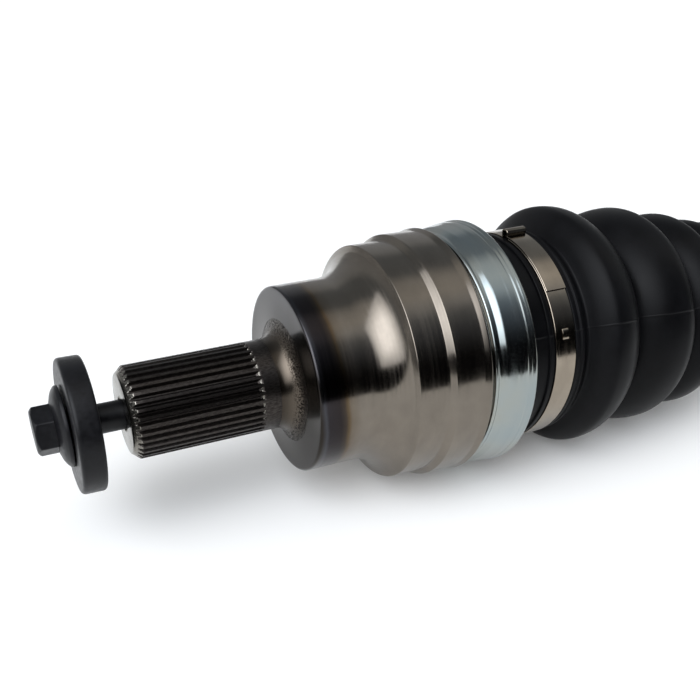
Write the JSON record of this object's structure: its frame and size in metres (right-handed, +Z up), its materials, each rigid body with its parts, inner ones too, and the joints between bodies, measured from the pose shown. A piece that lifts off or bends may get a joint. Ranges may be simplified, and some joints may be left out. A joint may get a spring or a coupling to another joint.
{
  "type": "drive shaft",
  "caption": "Car half shaft: splined hub stub and ball joint bell, rubber boots with band clamps, solid bar, and a plunging tripod joint with a bolted flange.",
  "frame": {"origin": "on the axis of rotation, level with the shoulder that the wheel hub is pulled against", "axes": "+X along the shaft from the wheel to the gearbox, +Z up, +Y completes the right-handed set; the splined stub points to -X"},
  "size_m": [0.6373, 0.1204, 0.107],
  "materials": {
    "black_steel": "black oxidised steel, satin",
    "forged_steel": "forged and turned steel, lightly oiled",
    "zinc_plate": "pressed sheet, blue zinc plate",
    "stainless_band": "polished stainless band",
    "hardened_steel": "case hardened and ground",
    "bearing_steel": "ground bearing steel",
    "bar_paint": "black dipped bar with bare spline ends",
    "rubber": "black chloroprene, satin"
  },
  "bodies": {
    "outer_joint": {"outer_housing": "forged_steel", "adapter_seal": "rubber", "boot_adapter": "zinc_plate", "outer_boot": "rubber", "outer_large_clamp": "stainless_band"},
    "washer": {"hub_washer": "black_steel"},
    "bolt": {"hub_bolt": "black_steel"},
    "cage": {"ball_cage": "hardened_steel", "joint_balls": "bearing_steel"},
    "bar": {"drive_bar": "bar_paint", "inner_race": "hardened_steel", "race_circlip": "bearing_steel", "outer_small_clamp": "stainless_band", "inner_small_clamp": "stainless_band", "spider": "hardened_steel", "spider_circlip": "bearing_steel", "upper_needles": "bearing_steel", "trunnion_retainers": "bearing_steel"},
    "lower_bearing": {"lower_needles": "bearing_steel"},
    "right_roller": {"roller_right": "bearing_steel"},
    "left_roller": {"roller_left": "bearing_steel"},
    "lower_roller": {"roller_lower": "bearing_steel"},
    "inner_joint": {"inner_housing": "forged_steel", "end_cap": "zinc_plate", "inner_boot": "rubber", "inner_large_clamp": "stainless_band"}
  },
  "joints": [
    {"name": "washer_slide", "type": "slide", "parent": "outer_joint", "child": "washer", "axis": [1, 0, 0], "range_m": [-0.019, 0.011]},
    {"name": "bolt_turn", "type": "hinge", "parent": "washer", "child": "bolt", "pos_m": [-0.09, 0, 0], "axis": [1, 0, 0], "range_deg": [-4590, 2670]},
    {"name": "outer_bend", "type": "hinge", "parent": "outer_joint", "child": "bar", "pos_m": [0.066, 0, 0], "axis": [0, 0, 1], "range_deg": [-30, 30], "deforming": ["outer_boot"]},
    {"name": "cage_tilt", "type": "hinge", "parent": "outer_joint", "child": "cage", "pos_m": [0.066, 0, 0], "axis": [0, 0, 1], "range_deg": [-15, 15]},
    {"name": "inner_bend", "type": "hinge", "parent": "bar", "child": "lower_bearing", "pos_m": [0.486, 0, 0], "axis": [0, 0, 1], "range_deg": [-18, 18], "deforming": ["inner_boot"]},
    {"name": "plunge", "type": "slide", "parent": "lower_bearing", "child": "inner_joint", "axis": [1, 0, 0], "range_m": [-0.015, 0.015], "deforming": ["inner_boot"]},
    {"name": "lower_roller_turn", "type": "hinge", "parent": "lower_bearing", "child": "lower_roller", "pos_m": [0.486, 0, 0], "axis": [0, 0, -1], "range_deg": [-56, 56]},
    {"name": "right_roller_turn", "type": "hinge", "parent": "bar", "child": "right_roller", "pos_m": [0.486, 0, 0], "axis": [0, 0.866, 0.5], "range_deg": [-56, 56]},
    {"name": "left_roller_turn", "type": "hinge", "parent": "bar", "child": "left_roller", "pos_m": [0.486, 0, 0], "axis": [0, -0.866, 0.5], "range_deg": [-56, 56]}
  ],
  "couplings": [
    {"joint": "bolt_turn", "follows": "washer_slide", "rad_per_m": 4188.8},
    {"joint": "cage_tilt", "follows": "outer_bend", "ratio": 0.5},
    {"joint": "lower_roller_turn", "follows": "plunge", "rad_per_m": 64.516},
    {"joint": "right_roller_turn", "follows": "plunge", "rad_per_m": 64.516},
    {"joint": "left_roller_turn", "follows": "plunge", "rad_per_m": 64.516}
  ]
}
